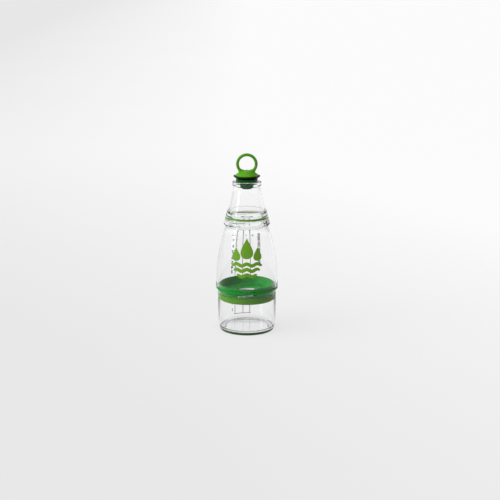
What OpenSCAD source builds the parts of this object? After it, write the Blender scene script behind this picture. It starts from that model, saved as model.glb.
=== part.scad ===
// Salad dressing shaker bottle: clear cup, green grinder insert, clear body, clear neck and a
// ring-handled stopper, joined by coarse multi-start threads. Millimetres, +Z up, origin at the
// centre of the foot.

/* [Cup] */
// Radius where the foot meets the table
cup_foot_r = 32.5; // [31:0.1:33]
// Outer radius of the wall above the heel
cup_wall_r = 35.2; // [35:0.1:35.4]
// Outer radius at the rim
cup_rim_r = 36.2; // [36:0.1:36.6]
// Height of the rim
cup_h = 52.7; // [52.5:0.1:52.8]
// Height over which the heel curves out
heel_h = 11; // [8:0.5:14]
// Thickness of the floor
cup_floor = 5.6; // [4:0.1:6.5]
// Rounding between floor and wall
cup_round = 8; // [6:0.5:9]
// Bore that takes the seal band
cup_bore_r = 33.2; // [33.2:0.05:33.25]
// Wider bore of the threaded mouth
cup_mouth_r = 34.3; // [34.2:0.05:34.3]

/* [Insert] */
// Underside of the flange
flange_z = 53; // [52.9:0.1:53.2]
// Thickness of the flange
flange_t = 2.8; // [2.6:0.1:3]
// Outer radius of the flange
flange_r = 38.1; // [37:0.1:38.4]
// Top of the bowl's rim
bowl_rim_z = 58.9; // [58.7:0.1:59.2]
// Outer radius of the bowl's rim
bowl_rim_r = 34.4; // [34.3:0.1:34.5]
// Upper face of the bowl's floor
bowl_floor_z = 49.6; // [49:0.1:50]
// Outer radius of the skirt inside the cup
skirt_r = 32.5; // [32.4:0.1:32.6]
// Lower edge of the skirt
skirt_low_z = 39.2; // [38.5:0.1:39.3]

/* [Cup seal] */
// Lower edge of the seal band
band_low_z = 39.9; // [39.8:0.1:40.2]
// Height of the seal band
band_h = 6.5; // [6:0.1:6.5]

/* [Grinder] */
// Radius of the open hole
grinder_hole_r = 9.6; // [8:0.1:10]
// Outer radius of the grinder ring
grinder_r = 19.8; // [19:0.1:22]
// Number of curved teeth
tooth_count = 4; // [3:1:5]
// Top of the teeth
tooth_top_z = 52.4; // [52:0.1:53]

/* [Body] */
// Lower edge of the body
body_low_z = 55.9; // [55.9:0.05:56]
// Outer radius at the lower edge
body_low_r = 38.4; // [38.2:0.1:38.6]
// Height of the shoulder under the neck
shoulder_z = 131.2; // [130:0.1:131.6]
// Outer radius of the shoulder
shoulder_r = 26.3; // [26:0.1:27]
// Height of the body's own mouth
body_mouth_z = 144.9; // [144.8:0.1:145]
// Wall thickness of the clear mouldings
wall = 2.3; // [2:0.1:2.5]

/* [Neck] */
// Lower edge of the neck's skirt
neck_low_z = 132.4; // [132.2:0.1:132.8]
// Outer radius at the skirt's lower edge
neck_low_r = 28.6; // [28:0.1:29]
// Height of the step above the skirt
step_z = 150.8; // [150:0.1:152]
// Outer radius of the step
step_r = 23.9; // [23.5:0.1:24.2]
// Height of the rim of the mouth
mouth_z = 186.5; // [186:0.1:187]
// Outer radius of the rim of the mouth
mouth_r = 17.7; // [17:0.1:18]
// Bore of the mouth, which takes the plug
mouth_bore_r = 13.5; // [13.5:0.05:13.6]

/* [Stopper] */
// Radius of the dome's edge
dome_r = 14.2; // [13.5:0.1:14.6]
// Underside of the dome
dome_z = 193.5; // [193:0.1:194]
// Height of the dome
dome_h = 6.3; // [6:0.1:7]
// Height of the ring handle's centre
ring_z = 207.2; // [206.5:0.1:208]
// Mean radius of the ring handle
ring_r = 11.3; // [11:0.1:11.6]
// Radius of the ring handle's bar
ring_bar_r = 1.8; // [1.6:0.05:2]
// Radius of the plug
plug_r = 13.2; // [13:0.05:13.2]
// Lowest point of the plug
plug_low_z = 177.7; // [177:0.1:179]
// Tip radius of the flared lip seal
lip_r = 16.5; // [16:0.1:17]

/* [Threads] */
// Rise of the cup thread in one turn
cup_lead = 22; // [20:1:24]
// Rise of the body thread in one turn
body_lead = 10; // [9:0.5:11]
// Rise of the neck thread in one turn
neck_lead = 15; // [14:0.5:16]

/* [Hidden] */
$fn = 96;
clear_tint = [0.86, 0.9, 0.88, 0.35];
insert_green = [0.2, 0.58, 0.27];
seal_green = [0.45, 0.62, 0.2];
cap_green = [0.36, 0.62, 0.16];
plug_green = [0.05, 0.3, 0.1];
lip_green = [0.03, 0.1, 0.04];

// Running clearance of the seals
seal_gap = 0.05;
// Bevels of moulded edges
bevel = 0.5;
fine_bevel = 0.3;
// Number of straight pieces in a curved stretch of a profile
curve_steps = 16;

// Number of ribs in each thread, the angle that a rib spans and its thickness
cup_ribs = 4;
cup_span = 45;
cup_rib_t = 1.3;
body_ribs = 4;
body_span = 30;
body_rib_t = 0.8;
neck_ribs = 3;
neck_span = 66;
neck_rib_t = 1.5;
// Depth to which a rib is sunk in the wall that carries it
rib_sink = 0.4;
// Angle of one step along a rib, the share of a rib that tapers at each end, and its least height
rib_step = 5;
rib_taper = 0.16;
rib_least = 0.15;
// Half widths of a rib at its root and at its crest, as shares of its thickness
rib_root_half = 0.62;
rib_crest_half = 0.38;

flange_top = flange_z + flange_t;
band_top_z = band_low_z + band_h;
band_seat_r = skirt_r - 0.7;
body_bore_r = body_low_r - wall - 0.2;
body_root_r = 23;
body_mouth_r = 21.9;
body_mouth_bore_r = 20.2;
grinder_seat_r = 15.2;
gasket_inner_r = 35.6;
gasket_outer_r = 37.2;
gasket_t = 0.8;
neck_bore_r = 24.8;
neck_seat_r = 23.9;
neck_seat_low = 140.5;
neck_seat_top = 144.5;
stem_r = 7;
stem_low_z = 182.45;
plug_top_z = 189.6;
plug_groove_z = 184.5;
plug_groove_h = 1.3;
plug_groove_r = plug_r - 1;
lip_t = 1.05;
lip_seat_z = plug_top_z + seal_gap;

// Point of a cubic curve with the four control points p at the share t of its way
function cubic(p, t) =
    pow(1 - t, 3) * p[0] + 3 * pow(1 - t, 2) * t * p[1] + 3 * (1 - t) * t * t * p[2] + pow(t, 3) * p[3];

// Points of an elliptical arc about c, with half axes a and b, from angle s to angle e
function arc(c, a, b, s, e, n = 8) =
    [for (i = [0:n]) let (t = s + (e - s) * i / n) [c[0] + a * cos(t), c[1] + b * sin(t)]];

// Height of one section of a rib at the share t of its length: it sinks away at both ends
function rib_rise(t) = max(rib_least, min(1, t / rib_taper, (1 - t) / rib_taper));

// One thread rib on a helix: from root_r to crest_r, centred on mid_z and the angle mid_a
module rib(root_r, crest_r, mid_z, mid_a, lead, span, thick) {
    steps = ceil(span / rib_step);
    side = crest_r > root_r ? 1 : -1;
    points = [for (i = [0:steps])
        let (t = i / steps, a = mid_a + span * (t - 0.5), z = mid_z + lead * span * (t - 0.5) / 360,
            tip_r = root_r + (crest_r - root_r) * rib_rise(t), base_r = root_r - side * rib_sink)
        for (q = [[base_r, -rib_root_half], [tip_r, -rib_crest_half],
            [tip_r, rib_crest_half], [base_r, rib_root_half]])
            [q[0] * cos(a), q[0] * sin(a), z + q[1] * thick]];
    sides = [for (i = [0:steps - 1], k = [0:3])
        let (a = 4 * i + k, b = 4 * i + (k + 1) % 4, c = b + 4, d = a + 4)
        for (f = [[a, b, c], [a, c, d]]) side > 0 ? f : [f[2], f[1], f[0]]];
    near = side > 0 ? [[2, 1, 0], [3, 2, 0]] : [[0, 1, 2], [0, 2, 3]];
    last = 4 * steps;
    far = [for (f = near) [f[2] + last, f[1] + last, f[0] + last]];
    polyhedron(points = points, faces = concat(sides, near, far), convexity = 4);
}

// All the ribs of one thread, evenly spaced
module thread(ribs, root_r, crest_r, mid_z, lead, span, thick) {
    for (i = [0:ribs - 1])
        rib(root_r, crest_r, mid_z, i * 360 / ribs, lead, span, thick);
}

// Ring with a rectangular section, bevelled on its outer side
module ring_solid(inner_r, outer_r, low_z, high_z, edge = fine_bevel) {
    rotate_extrude()
        polygon([[inner_r, low_z], [outer_r - edge, low_z], [outer_r, low_z + edge],
            [outer_r, high_z - edge], [outer_r - edge, high_z], [inner_r, high_z]]);
}

// Clear cup: thick floor with a shallow hollow under it, curved heel, threaded mouth
module cup() {
    foot_land_r = 27.5;
    hollow = 1.2;
    bore_top_z = 46.7;
    rim_bevel = 0.6;
    mouth_bevel = 0.4;
    lead_in = 0.8;
    thread_z = 50.3;
    thread_depth = 0.95;
    heel = [for (i = [0:curve_steps]) let (t = i / curve_steps)
        [cup_wall_r - (cup_wall_r - cup_foot_r) * pow(1 - t, 2), heel_h * t]];
    color(clear_tint) {
        rotate_extrude()
            polygon(concat([[0, hollow], [foot_land_r - 2, hollow], [foot_land_r, 0]], heel,
                [[cup_rim_r, cup_h - rim_bevel], [cup_rim_r - rim_bevel, cup_h],
                    [cup_mouth_r + mouth_bevel, cup_h], [cup_mouth_r, cup_h - bevel],
                    [cup_mouth_r, bore_top_z + lead_in], [cup_bore_r, bore_top_z]],
                arc([cup_bore_r - cup_round, cup_floor + cup_round], cup_round, cup_round, 0, -90, 10),
                [[0, cup_floor]]));
        thread(cup_ribs, cup_mouth_r, cup_mouth_r - thread_depth, thread_z, cup_lead, cup_span, cup_rib_t);
    }
}

// Silicone band round the insert's skirt, which seals it in the cup's mouth
module cup_seal_band() {
    color(seal_green)
        ring_solid(band_seat_r + seal_gap, cup_bore_r - seal_gap, band_low_z, band_top_z);
}

// Green insert: bowl with a raised rim, flange between cup and body, threaded skirt below
module grinder_insert() {
    skirt_bore_r = 30.2;
    under_z = bowl_floor_z - 1.7;
    under_round = 1;
    bowl_low_r = 31;
    bowl_round = 1.6;
    flange_round = 0.8;
    flange_mid_r = flange_r - flange_round;
    thread_z = 48.8;
    thread_depth = 1.5;
    rim_thread_z = 57.95;
    rim_thread_depth = 1;
    color(insert_green) {
        rotate_extrude()
            polygon(concat(
                [[grinder_seat_r, under_z], [skirt_bore_r - under_round, under_z],
                    [skirt_bore_r, under_z - under_round], [skirt_bore_r, skirt_low_z],
                    [skirt_r, skirt_low_z], [skirt_r, band_low_z - seal_gap],
                    [band_seat_r, band_low_z - seal_gap], [band_seat_r, band_top_z + seal_gap],
                    [skirt_r, band_top_z + seal_gap], [skirt_r, flange_z]],
                arc([flange_mid_r, flange_z + flange_round], flange_round, flange_round, -90, 0, 4),
                arc([flange_mid_r, flange_top - flange_round], flange_round, flange_round, 0, 90, 4),
                [[gasket_outer_r, flange_top], [gasket_outer_r, flange_top - gasket_t],
                    [gasket_inner_r, flange_top - gasket_t], [gasket_inner_r, flange_top],
                    [bowl_rim_r, flange_top]],
                arc([bowl_rim_r - bevel, bowl_rim_z - bevel], bevel, bevel, 0, 180, 6),
                arc([bowl_low_r - bowl_round, bowl_floor_z + bowl_round], bowl_round, bowl_round,
                    -10, -90, 5),
                [[grinder_seat_r, bowl_floor_z]]));
        thread(cup_ribs, skirt_r, skirt_r + thread_depth, thread_z, cup_lead, cup_span, cup_rib_t);
        thread(body_ribs, bowl_rim_r, bowl_rim_r + rim_thread_depth, rim_thread_z,
            body_lead, body_span, body_rib_t);
    }
}

// Outline of one curved grinder tooth seen from above: it sweeps outwards as it goes round
module tooth_outline(start_a) {
    sweep = 78;
    inner_r = 13.4;
    outer_r = grinder_r - 2.6;
    root_w = 2.2;
    narrowing = 0.55;
    steps = 12;
    side = [for (i = [0:steps]) let (t = i / steps)
        [inner_r + (outer_r - inner_r) * t, start_a - sweep * t, root_w * (1 - narrowing * t)]];
    polygon(concat(
        [for (q = side) [q[0] * cos(q[1]), q[0] * sin(q[1])]],
        [for (i = [steps:-1:0]) let (q = side[i]) [(q[0] + q[2]) * cos(q[1]), (q[0] + q[2]) * sin(q[1])]]));
}

// Grinder ring clipped into the floor of the bowl: funnel hole with curved teeth round it
module grinder_ring() {
    plate_low = bowl_floor_z + seal_gap;
    plate_top = plate_low + 0.8;
    barrel_r = grinder_seat_r - seal_gap;
    barrel_low = 47;
    throat_z = 48.2;
    lip_z = 51.4;
    lip_inner_r = 13;
    lip_outer_r = 14.2;
    lip_foot_r = 15.6;
    tooth_sink = 0.3;
    first_tooth_a = 36;
    color(insert_green) {
        rotate_extrude()
            polygon([[grinder_hole_r, barrel_low], [grinder_hole_r, throat_z], [lip_inner_r, lip_z],
                [lip_outer_r, lip_z], [lip_foot_r, plate_top], [grinder_r - fine_bevel, plate_top],
                [grinder_r, plate_top - fine_bevel], [grinder_r, plate_low], [barrel_r, plate_low],
                [barrel_r, barrel_low]]);
        for (i = [0:tooth_count - 1])
            translate([0, 0, plate_top - tooth_sink])
                linear_extrude(tooth_top_z - plate_top + tooth_sink)
                    tooth_outline(first_tooth_a + i * 360 / tooth_count);
    }
}

// Flat gasket in the flange's groove, under the body's lower edge
module body_gasket() {
    color(seal_green)
        ring_solid(gasket_inner_r + seal_gap, gasket_outer_r - seal_gap,
            flange_top - gasket_t + seal_gap, flange_top + seal_gap, 0.2);
}

// Outer curve of the body, from the lower edge up to the shoulder: it drops steeply, then leans in
function body_curve() = let (belly = [body_low_r - 2, body_low_z + 33],
    waist = [body_low_r - 2.8, body_low_z + 44.6],
    p = [[body_low_r, body_low_z + seal_gap], belly, waist, [shoulder_r, shoulder_z]])
    [for (i = [0:curve_steps]) cubic(p, i / curve_steps)];

// Clear body: bell-shaped wall, low thread inside its lower edge, threaded mouth on top
module body() {
    outer = body_curve();
    inner = [for (i = [curve_steps - 1:-1:2]) [outer[i][0] - wall, outer[i][1]]];
    shoulder_rise = 0.3;
    root_top_z = neck_seat_low - 0.9;
    seat_low_z = neck_seat_low - 0.4;
    bore_low_z = shoulder_z + 1.6;
    foot_bore_h = 5;
    thread_z = 137;
    thread_depth = 1.45;
    foot_thread_z = 56.95;
    foot_thread_depth = 1.1;
    color(clear_tint) {
        rotate_extrude()
            polygon(concat(outer,
                [[body_root_r, shoulder_z + shoulder_rise], [body_root_r, root_top_z],
                    [body_mouth_r, seat_low_z], [body_mouth_r, body_mouth_z - bevel],
                    [body_mouth_r - bevel, body_mouth_z], [body_mouth_bore_r + fine_bevel, body_mouth_z],
                    [body_mouth_bore_r, body_mouth_z - fine_bevel], [body_mouth_bore_r, bore_low_z]],
                inner,
                [[body_bore_r, body_low_z + foot_bore_h], [body_bore_r, body_low_z + seal_gap]]));
        thread(neck_ribs, body_root_r, body_root_r + thread_depth, thread_z,
            neck_lead, neck_span, neck_rib_t);
        thread(body_ribs, body_bore_r, body_bore_r - foot_thread_depth, foot_thread_z,
            body_lead, body_span, body_rib_t);
    }
}

// Green ring seated in the neck, round the body's mouth
module neck_seal_ring() {
    low_gap = 0.2;
    high_gap = 0.3;
    color(seal_green)
        ring_solid(body_mouth_r + seal_gap, neck_seat_r - seal_gap,
            neck_seat_low + low_gap, neck_seat_top - high_gap, bevel);
}

// Outer radius of the neck's cone at the height z: nearly straight, a little hollow
function cone_r(z) = let (s = (z - 150) / 30) 22.63 - 7.36 * s + 1.18 * s * s;

// Clear neck: threaded skirt, step, cone and a rounded rim at the mouth
module neck() {
    cone_high_z = 181;
    inner_low_z = 152;
    inner_high_z = 176;
    inner_steps = 8;
    cone_wall = wall - 0.2;
    throat_z = 180;
    skirt_round = 1;
    rim_round = 2.5;
    step_drop = 0.6;
    step_edge = 0.4;
    ceiling_z = body_mouth_z + 0.4;
    passage_r = 20.6;
    passage_z = 147;
    seat_catch = 0.3;
    root_top_z = neck_seat_low - 1.4;
    lead_in = 0.8;
    thread_z = 135.2;
    thread_depth = 1.45;
    cone = [for (i = [0:curve_steps]) let (z = step_z + (cone_high_z - step_z) * i / curve_steps)
        [cone_r(z), z]];
    inner = [for (i = [inner_steps:-1:0])
        let (z = inner_low_z + (inner_high_z - inner_low_z) * i / inner_steps)
        [cone_r(z) - cone_wall, z]];
    color(clear_tint) {
        rotate_extrude()
            polygon(concat(
                arc([neck_low_r - skirt_round, neck_low_z + skirt_round], skirt_round, skirt_round,
                    -90, 14, 6),
                [[step_r + 0.15, step_z - step_drop], [step_r - step_edge, step_z]],
                cone,
                arc([mouth_r - rim_round, mouth_z - rim_round], rim_round, rim_round, -55, 90, 12),
                [[mouth_bore_r + bevel, mouth_z], [mouth_bore_r, mouth_z - bevel], [mouth_bore_r, throat_z]],
                inner,
                [[passage_r, passage_z], [passage_r, ceiling_z], [neck_seat_r, ceiling_z],
                    [neck_seat_r, neck_seat_low], [neck_seat_r - seat_catch, neck_seat_low - 0.1],
                    [neck_seat_r - seat_catch, neck_seat_low - bevel], [neck_bore_r, root_top_z],
                    [neck_bore_r, neck_low_z + 1.2], [neck_bore_r + lead_in, neck_low_z]]));
        thread(neck_ribs, neck_bore_r, neck_bore_r - thread_depth, thread_z,
            neck_lead, neck_span, neck_rib_t);
    }
}

// Dark green plug on the cap's stem, with a rounded nose
module stopper_plug() {
    nose_z = 184.2;
    nose_r = 4.6;
    groove_top_z = plug_groove_z + plug_groove_h;
    groove_flare = 0.1;
    bore_r = stem_r + seal_gap;
    bore_low_z = stem_low_z - seal_gap;
    color(plug_green)
        rotate_extrude()
            polygon(concat([[0, plug_low_z]],
                arc([nose_r, nose_z], plug_r - nose_r, nose_z - plug_low_z, -90, 0, 10),
                [[plug_r, plug_groove_z - groove_flare], [plug_groove_r, plug_groove_z],
                    [plug_groove_r, groove_top_z], [plug_r, groove_top_z + groove_flare],
                    [plug_r, plug_top_z - bevel], [plug_r - bevel, plug_top_z], [bore_r, plug_top_z],
                    [bore_r, bore_low_z], [0, bore_low_z]]));
}

// Sealing ring in the plug's groove, just inside the mouth
module stopper_seal_ring() {
    color(seal_green)
        ring_solid(plug_groove_r + seal_gap, mouth_bore_r - seal_gap,
            plug_groove_z + seal_gap, plug_groove_z + plug_groove_h - seal_gap);
}

// Thin flared seal clamped between plug and dome, its tip turned up and out
module stopper_lip_seal() {
    base_r = 12.2;
    tip_z = lip_seat_z + 3.55;
    tip_t = 0.55;
    color(lip_green)
        rotate_extrude()
            polygon([[stem_r + seal_gap, lip_seat_z], [base_r, lip_seat_z], [base_r + 0.8, lip_seat_z + 0.35],
                [lip_r, tip_z], [lip_r - 0.2, tip_z + tip_t], [lip_r - 0.9, tip_z + tip_t - 0.15],
                [base_r + 0.4, lip_seat_z + 1.25], [base_r - 0.3, lip_seat_z + lip_t],
                [stem_r + seal_gap, lip_seat_z + lip_t]]);
}

// Green cap: dome, ring handle and the stem that carries the plug, one moulding
module stopper_cap() {
    sphere_r = (dome_r * dome_r + dome_h * dome_h) / (2 * dome_h);
    dome_half_a = asin(dome_r / sphere_r);
    edge_a = 1.4;
    collar_r = 11;
    collar_z = lip_seat_z + lip_t + seal_gap;
    edge_in = 0.4;
    color(cap_green) {
        rotate_extrude()
            polygon(concat([[0, stem_low_z], [stem_r, stem_low_z], [stem_r, collar_z],
                [collar_r, collar_z], [collar_r, dome_z], [dome_r - edge_in, dome_z],
                [dome_r, dome_z + fine_bevel]],
                arc([0, dome_z + dome_h - sphere_r], sphere_r, sphere_r, 90 - dome_half_a + edge_a, 90, 10)));
        translate([0, 0, ring_z])
            rotate([90, 0, 0])
                rotate_extrude()
                    translate([ring_r, 0])
                        circle(ring_bar_r, $fn = 32);
    }
}

cup();
cup_seal_band();
grinder_insert();
grinder_ring();
body_gasket();
body();
neck_seal_ring();
neck();
stopper_plug();
stopper_seal_ring();
stopper_lip_seal();
stopper_cap();
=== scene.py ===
"""Studio scene of a clear salad dressing shaker bottle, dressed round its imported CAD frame.

Every piece is a surface worked out with numpy: most are profiles turned about the bottle's axis, with the
thread ribs raised on the turned grid, and the ink is thin plates bent onto the walls. Profiles are written
in millimetres in the frame of the part, with the foot on z = 0, and meshes are in metres.
"""

import logging
import math
from dataclasses import dataclass, field
from enum import Enum
from typing import Callable, Sequence

import bpy
import numpy as np
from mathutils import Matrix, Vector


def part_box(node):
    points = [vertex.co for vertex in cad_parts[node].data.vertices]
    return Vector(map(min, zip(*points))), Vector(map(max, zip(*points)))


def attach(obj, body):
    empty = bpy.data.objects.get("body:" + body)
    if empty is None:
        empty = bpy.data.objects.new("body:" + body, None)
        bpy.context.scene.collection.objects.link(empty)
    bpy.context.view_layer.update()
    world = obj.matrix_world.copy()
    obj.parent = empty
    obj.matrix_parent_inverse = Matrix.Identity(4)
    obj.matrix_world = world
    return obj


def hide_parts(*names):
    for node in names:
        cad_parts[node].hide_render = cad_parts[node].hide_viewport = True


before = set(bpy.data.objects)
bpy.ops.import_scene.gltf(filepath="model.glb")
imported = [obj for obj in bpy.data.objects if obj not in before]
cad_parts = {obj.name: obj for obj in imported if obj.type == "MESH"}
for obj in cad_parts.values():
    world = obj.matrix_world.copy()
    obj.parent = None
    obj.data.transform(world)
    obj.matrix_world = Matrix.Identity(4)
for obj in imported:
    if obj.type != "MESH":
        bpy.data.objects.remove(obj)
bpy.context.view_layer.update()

MM = 0.001
SEGMENTS = 256
FINE_STEP = 0.22
# How far a soft seal is pressed against a clear wall, so that no air shows between them
SQUEEZE = 0.02
log = logging.getLogger("shaker_bottle")


class Part(Enum):
    """Bodies of the frame, on which the pieces ride."""

    CUP = "cup"
    CUP_SEAL = "cup_seal"
    INSERT = "insert"
    BODY_SEAL = "body_seal"
    BODY = "body"
    NECK_SEAL = "neck_seal"
    NECK = "neck"
    STOPPER = "stopper"


class Slot(Enum):
    """Material slots of the record."""

    CLEAR = "clear_plastic"
    INSERT = "insert_plastic"
    SEAL = "green_silicone"
    PLUG = "plug_silicone"
    LIP = "lip_rubber"
    CAP = "cap_plastic"


def linear(code: str) -> tuple[float, float, float, float]:
    """Linear RGBA of an sRGB hex colour.

    Args:
        code: six hex digits, such as "6ba30a".
    Returns:
        Red, green, blue and an alpha of 1, by the sRGB transfer curve.
    """
    value = np.array([int(code[i : i + 2], 16) for i in (0, 2, 4)]) / 255
    low = value / 12.92
    high = ((value + 0.055) / 1.055) ** 2.4
    rgb = np.where(value <= 0.04045, low, high)
    return (float(rgb[0]), float(rgb[1]), float(rgb[2]), 1.0)


def smooth(share: np.ndarray) -> np.ndarray:
    """Share clipped to 0..1 and eased at both ends: 3s^2 - 2s^3."""
    s = np.clip(share, 0, 1)
    return s * s * (3 - 2 * s)


@dataclass(frozen=True)
class Extent:
    """Outer radius, lowest and highest level of a round CAD node, in millimetres."""

    radius: float
    low: float
    high: float

    @classmethod
    def of(cls, node: str) -> "Extent":
        """Extent of a node of the frame."""
        low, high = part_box(node)
        return cls(high.x / MM, low.z / MM, high.z / MM)


@dataclass
class Surface:
    """Vertices in millimetres with quads and triangles over them."""

    points: np.ndarray
    quads: np.ndarray = field(default_factory=lambda: np.zeros((0, 4), int))
    triangles: np.ndarray = field(default_factory=lambda: np.zeros((0, 3), int))

    @classmethod
    def joined(cls, surfaces: Sequence["Surface"]) -> "Surface":
        """One surface that holds all of these."""
        starts = np.cumsum([0] + [len(s.points) for s in surfaces[:-1]])
        return cls(
            np.concatenate([s.points for s in surfaces]),
            np.concatenate([s.quads + n for s, n in zip(surfaces, starts)]),
            np.concatenate([s.triangles + n for s, n in zip(surfaces, starts)]),
        )

    def volume(self) -> float:
        """Signed volume: the sum over all triangles of p . (q x r) / 6."""
        halves = np.concatenate([self.triangles, self.quads[:, [0, 1, 2]], self.quads[:, [0, 2, 3]]])
        p, q, r = (self.points[halves[:, i]] for i in range(3))
        return float(np.einsum("ij,ij->i", p, np.cross(q, r)).sum() / 6)

    def outward(self) -> "Surface":
        """This surface with its faces pointing out of the volume that it closes."""
        if self.volume() >= 0:
            return self
        return Surface(self.points, self.quads[:, ::-1], self.triangles[:, ::-1])

    def mesh(self, name: str, sharp_deg: float) -> bpy.types.Mesh:
        """Blender mesh of this surface.

        Args:
            name: the mesh's name.
            sharp_deg: angle between two faces above which their edge shows as sharp.
        Returns:
            The mesh, in metres.
        """
        mesh = bpy.data.meshes.new(name)
        mesh.vertices.add(len(self.points))
        mesh.vertices.foreach_set("co", (self.points * MM).astype(np.float32).ravel())
        corners = np.concatenate([self.quads.ravel(), self.triangles.ravel()])
        four = 4 * np.arange(len(self.quads))
        three = 4 * len(self.quads) + 3 * np.arange(len(self.triangles))
        starts = np.concatenate([four, three])
        mesh.loops.add(len(corners))
        mesh.loops.foreach_set("vertex_index", corners.astype(np.int32))
        mesh.polygons.add(len(starts))
        mesh.polygons.foreach_set("loop_start", starts.astype(np.int32))
        mesh.polygons.foreach_set("use_smooth", np.ones(len(starts), bool))
        mesh.update(calc_edges=True)
        mesh.validate()
        mesh.set_sharp_from_angle(angle=math.radians(sharp_deg))
        return mesh


def grid_quads(rows: int, columns: int, loop_rows: bool, loop_columns: bool) -> np.ndarray:
    """Quads of a grid whose point (i, j) has the number i * columns + j.

    Args:
        rows: number of rows of points.
        columns: number of points in a row.
        loop_rows: whether the last row meets the first.
        loop_columns: whether the last column meets the first.
    Returns:
        Corner numbers, four to a quad.
    """
    i, j = np.meshgrid(
        np.arange(rows if loop_rows else rows - 1),
        np.arange(columns if loop_columns else columns - 1),
        indexing="ij",
    )
    i2, j2 = (i + 1) % rows, (j + 1) % columns
    return np.stack(
        [i * columns + j, i * columns + j2, i2 * columns + j2, i2 * columns + j], axis=-1
    ).reshape(-1, 4)


def closed_grid(points: np.ndarray) -> Surface:
    """Closed surface over a grid that is a loop along its columns and, unless it ends in poles, its rows.

    Args:
        points: array (rows, columns, 3). If all points of the first row coincide, so do those of the last,
            and each of those rows becomes one pole.
    Returns:
        The surface, facing outwards.
    """
    rows, columns = points.shape[:2]
    flat = points.reshape(-1, 3)
    if np.ptp(points[0], axis=0).max() > 1e-9:
        return Surface(flat, grid_quads(rows, columns, True, True)).outward()
    inner = grid_quads(rows, columns, False, True)
    inner = inner[(inner.min(axis=1) >= columns) & (inner.max(axis=1) < (rows - 1) * columns)]
    around = np.arange(columns)
    following = (around + 1) % columns
    first, last = columns - 1, (rows - 1) * columns
    near = np.stack([np.full(columns, first), columns + following, columns + around], axis=1)
    far = np.stack([np.full(columns, last), last - columns + around, last - columns + following], axis=1)
    kept = flat[first : last + 1]
    return Surface(kept, inner - first, np.concatenate([near, far]) - first).outward()


def rounded(corners: Sequence[Sequence[float]], steps: int = 5) -> np.ndarray:
    """Profile through corners, each bridged by a quadratic curve.

    A corner P with rounding f is cut back to P - f u and P + f v along its two edges, and the points
    between are (1-t)^2 A + 2t(1-t) P + t^2 B.

    Args:
        corners: (radius, height) or (radius, height, rounding), in millimetres.
        steps: pieces in each bridge.
    Returns:
        Array (n, 2) of radius and height.
    """
    spots = np.array([c[:2] for c in corners], float)
    made = []
    for k, corner in enumerate(corners):
        size = corner[2] if len(corner) > 2 else 0
        here = spots[k]
        if not size or k in (0, len(corners) - 1):
            made.append(here[None])
            continue
        back, ahead = spots[k - 1] - here, spots[k + 1] - here
        start = here + back / np.linalg.norm(back) * min(size, np.linalg.norm(back) * 0.49)
        end = here + ahead / np.linalg.norm(ahead) * min(size, np.linalg.norm(ahead) * 0.49)
        t = np.linspace(0, 1, steps + 1)[:, None]
        made.append((1 - t) ** 2 * start + 2 * t * (1 - t) * here + t * t * end)
    return np.concatenate(made)


def bezier(controls: Sequence[Sequence[float]], steps: int) -> np.ndarray:
    """Points of the cubic curve with four control points: the sum of the Bernstein terms."""
    p = np.array(controls, float)
    t = np.linspace(0, 1, steps + 1)[:, None]
    return (
        (1 - t) ** 3 * p[0] + 3 * (1 - t) ** 2 * t * p[1] + 3 * (1 - t) * t * t * p[2] + t**3 * p[3]
    )


def listed(points: np.ndarray) -> list[tuple[float, float]]:
    """Profile points as plain pairs, to be put among corners."""
    return [(float(r), float(z)) for r, z in points]


@dataclass(frozen=True)
class Thread:
    """Ribs of one multi-start thread on a turned wall. Depth is negative where they stand inwards."""

    root: float
    depth: float
    middle: float
    ribs: int
    lead: float
    span_deg: float
    thick: float
    taper: float = 0.16
    root_half: float = 0.62
    crest_half: float = 0.36

    def relief(self, angle: np.ndarray, height: np.ndarray) -> np.ndarray:
        """How far the ribs stand proud of the wall.

        A rib's centre climbs by lead * turn / 2 pi from its middle. Its section is a trapezium with eased
        flanks, and it sinks away over the taper at both ends.

        Args:
            angle: angles about the axis, in radians.
            height: heights, in millimetres.
        Returns:
            Rise along the radius, in millimetres.
        """
        pitch = 2 * math.pi / self.ribs
        turn = (angle + pitch / 2) % pitch - pitch / 2
        share = turn / math.radians(self.span_deg) + 0.5
        rise = smooth(np.minimum(share, 1 - share) / self.taper)
        off = np.abs(height - self.middle - self.lead * turn / (2 * math.pi))
        flank = (self.root_half * self.thick - off) / ((self.root_half - self.crest_half) * self.thick)
        return self.depth * rise * smooth(flank)

    def reach(self) -> float:
        """Half of the height that the ribs take up."""
        return self.lead * self.span_deg / 720 + self.thick


def refined(profile: np.ndarray, threads: Sequence[Thread], step: float) -> np.ndarray:
    """Profile with extra points where a thread stands on it, evenly spread on each stretch of its root."""
    made = [profile[:1]]
    for a, b in zip(profile[:-1], profile[1:]):
        on_root = any(
            abs(a[0] - t.root) < 0.01 and abs(b[0] - t.root) < 0.01 and abs((a + b)[1] / 2 - t.middle) < 20
            for t in threads
        )
        count = max(1, math.ceil(np.linalg.norm(b - a) / step)) if on_root else 1
        made.append(a + (b - a) * (np.arange(1, count + 1) / count)[:, None])
    return np.concatenate(made)


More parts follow.
